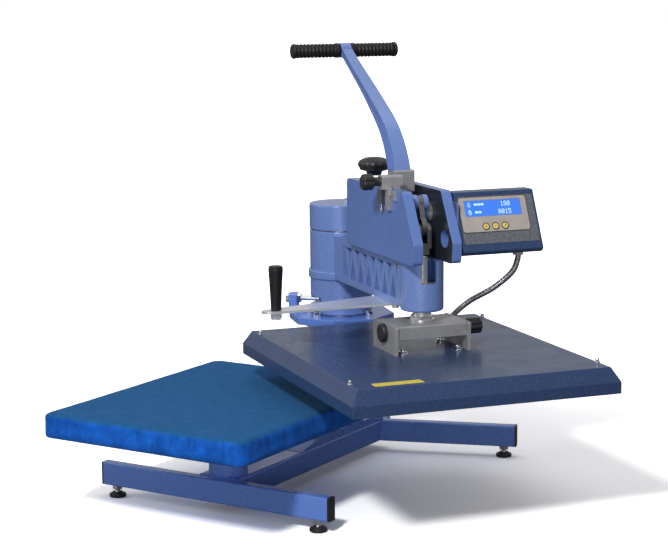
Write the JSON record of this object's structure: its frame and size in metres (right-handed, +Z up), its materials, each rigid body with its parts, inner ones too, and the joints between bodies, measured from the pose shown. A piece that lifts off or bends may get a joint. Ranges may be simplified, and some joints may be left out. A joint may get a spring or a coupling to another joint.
{
  "type": "heat press",
  "caption": "Swing-away heat press: lever-driven toggle head with a flat heated platen on a swing column, cloth-covered work table and digital controller.",
  "frame": {"origin": "centre of the work table's top face", "axes": "+Z up, out of the table's top face; +X to the operator's right; +Y to the back, towards the swing column"},
  "size_m": [0.927, 0.7985, 0.7712],
  "materials": {
    "blue_frame": "hammered blue enamel",
    "blue_cast": "hammered light blue enamel",
    "navy_hood": "hammered navy enamel",
    "chrome": "bright",
    "steel": "brushed",
    "bright_bar": "polished",
    "raw_aluminium": "milled",
    "black_plastic": "satin",
    "black_grip": "ribbed",
    "rubber_black": "matt",
    "bronze": "machined",
    "blue_cloth": "napped cloth",
    "foam": "silicone foam",
    "insulation": "mineral board",
    "panel_grey": "printed film",
    "display": "lit",
    "button_yellow": "satin",
    "board": "circuit board",
    "heater_steel": "oxidised",
    "flex_metal": "corrugated"
  },
  "bodies": {
    "base": {"front_cross_tube": "blue_frame", "centre_beam": "blue_frame", "rear_legs": "blue_frame", "tube_end_caps": "black_plastic", "base_fasteners": "chrome", "table_socket": "blue_frame", "pedestal": "blue_frame", "column_washers": "steel", "swing_flange": "blue_frame", "spindle": "steel", "column_cap": "blue_cast", "stop_bracket": "blue_frame", "swing_stop_screw": "chrome"},
    "foot_front_left": {"foot_front_left": "rubber_black"},
    "foot_front_right": {"foot_front_right": "rubber_black"},
    "foot_rear_left": {"foot_rear_left": "rubber_black"},
    "foot_rear_right": {"foot_rear_right": "rubber_black"},
    "table": {"table_plate": "blue_frame", "table_pad": "foam", "table_cover": "blue_cloth"},
    "table_lock": {"table_lock_screw": "chrome"},
    "head": {"arm_casting": "blue_cast", "head_bushes": "bronze", "cheek_left": "blue_cast", "cheek_right": "blue_cast", "cheek_brackets": "blue_cast", "head_screws": "chrome", "lock_bracket": "raw_aluminium", "bracket_clamp": "steel", "swing_handle": "bright_bar", "conduit": "flex_metal", "conduit_gland": "chrome", "controller_case": "navy_hood", "controller_panel": "panel_grey", "display_window": "display", "circuit_board": "board"},
    "carriage": {"pressure_carriage": "raw_aluminium", "lever_pivot_pin": "steel"},
    "pressure_knob": {"pressure_knob": "black_plastic"},
    "lever": {"lever_arm": "blue_cast", "lever_root_block": "raw_aluminium", "lever_shafts": "steel", "lever_grips": "black_grip"},
    "link": {"toggle_link": "steel"},
    "ram": {"ram_shaft": "chrome", "yoke_block": "raw_aluminium"},
    "platen": {"yoke_plates": "raw_aluminium", "trunnion_shafts": "steel", "trunnion_cap": "black_plastic", "platen_cover": "navy_hood", "heating_plate": "raw_aluminium", "cartridge_heaters": "heater_steel", "insulation_board": "insulation", "platen_fittings": "chrome"},
    "float_knob": {"float_knob": "black_plastic"},
    "lock_knob": {"lock_knob": "black_plastic"},
    "swing_grip": {"swing_grip": "black_grip"},
    "button_1": {"button_1": "button_yellow"},
    "button_2": {"button_2": "button_yellow"},
    "button_3": {"button_3": "button_yellow"}
  },
  "joints": [
    {"name": "head_swing", "type": "hinge", "parent": "base", "child": "head", "pos_m": [0, 0.374, 0.16], "axis": [0, 0, 1], "range_deg": [-52, 38]},
    {"name": "pressure_adjust", "type": "slide", "parent": "head", "child": "carriage", "axis": [0, 0, 1], "range_m": [-0.0015, 0.0015]},
    {"name": "pressure_knob_turn", "type": "hinge", "parent": "head", "child": "pressure_knob", "pos_m": [0.13002, 0.27242, 0.34], "axis": [0, 0, 1], "range_deg": [-271, 271]},
    {"name": "lever_pull", "type": "hinge", "parent": "carriage", "child": "lever", "pos_m": [0.2695, 0.16344, 0.31], "axis": [0.6157, 0.788, 0], "range_deg": [0, 111.27]},
    {"name": "link_swing", "type": "hinge", "parent": "lever", "child": "link", "pos_m": [0.28349, 0.15251, 0.3283], "axis": [0.6157, 0.788, 0], "range_deg": [-121.45, 0.5]},
    {"name": "ram_slide", "type": "slide", "parent": "carriage", "child": "ram", "axis": [0, 0, -1], "range_m": [0, 0.03849]},
    {"name": "platen_float", "type": "hinge", "parent": "ram", "child": "platen", "pos_m": [0.29472, 0.14374, 0.118], "axis": [0.6157, 0.788, 0], "range_deg": [-1, 1], "stiffness_Nm_per_rad": 30},
    {"name": "float_knob_turn", "type": "hinge", "parent": "platen", "child": "float_knob", "pos_m": [0.34397, 0.20678, 0.118], "axis": [0.6157, 0.788, 0], "range_deg": [0, 180]},
    {"name": "lock_knob_turn", "type": "hinge", "parent": "head", "child": "lock_knob", "pos_m": [0.21852, 0.11444, 0.363], "axis": [0.6157, 0.788, 0], "range_deg": [0, 180]},
    {"name": "swing_grip_spin", "type": "hinge", "parent": "head", "child": "swing_grip", "pos_m": [0.09987, 0.00156, 0.19], "axis": [0, 0, 1], "continuous": true},
    {"name": "button_1_press", "type": "slide", "parent": "head", "child": "button_1", "axis": [-0.7137, 0.5576, -0.4239], "range_m": [0, 0.0008], "stiffness_N_per_m": 600},
    {"name": "button_2_press", "type": "slide", "parent": "head", "child": "button_2", "axis": [-0.7137, 0.5576, -0.4239], "range_m": [0, 0.0008], "stiffness_N_per_m": 600},
    {"name": "button_3_press", "type": "slide", "parent": "head", "child": "button_3", "axis": [-0.7137, 0.5576, -0.4239], "range_m": [0, 0.0008], "stiffness_N_per_m": 600},
    {"name": "table_turn", "type": "hinge", "parent": "base", "child": "table", "pos_m": [0, 0, -0.08], "axis": [0, 0, 1], "range_deg": [-12, 12]},
    {"name": "table_lock_turn", "type": "hinge", "parent": "base", "child": "table_lock", "pos_m": [-0.05, 0, -0.1015], "axis": [1, 0, 0], "range_deg": [0, 360]},
    {"name": "foot_front_left_level", "type": "slide", "parent": "base", "child": "foot_front_left", "axis": [0, 0, 1], "range_m": [-0.008, 0.004]},
    {"name": "foot_front_right_level", "type": "slide", "parent": "base", "child": "foot_front_right", "axis": [0, 0, 1], "range_m": [-0.008, 0.004]},
    {"name": "foot_rear_left_level", "type": "slide", "parent": "base", "child": "foot_rear_left", "axis": [0, 0, 1], "range_m": [-0.008, 0.004]},
    {"name": "foot_rear_right_level", "type": "slide", "parent": "base", "child": "foot_rear_right", "axis": [0, 0, 1], "range_m": [-0.008, 0.004]}
  ],
  "couplings": [
    {"joint": "pressure_knob_turn", "follows": "pressure_adjust", "rad_per_m": -3141.6},
    {"joint": "link_swing", "follows": "lever_pull", "ratio": -1.0869},
    {"joint": "ram_slide", "follows": "lever_pull", "m_per_rad": 0.01981}
  ]
}
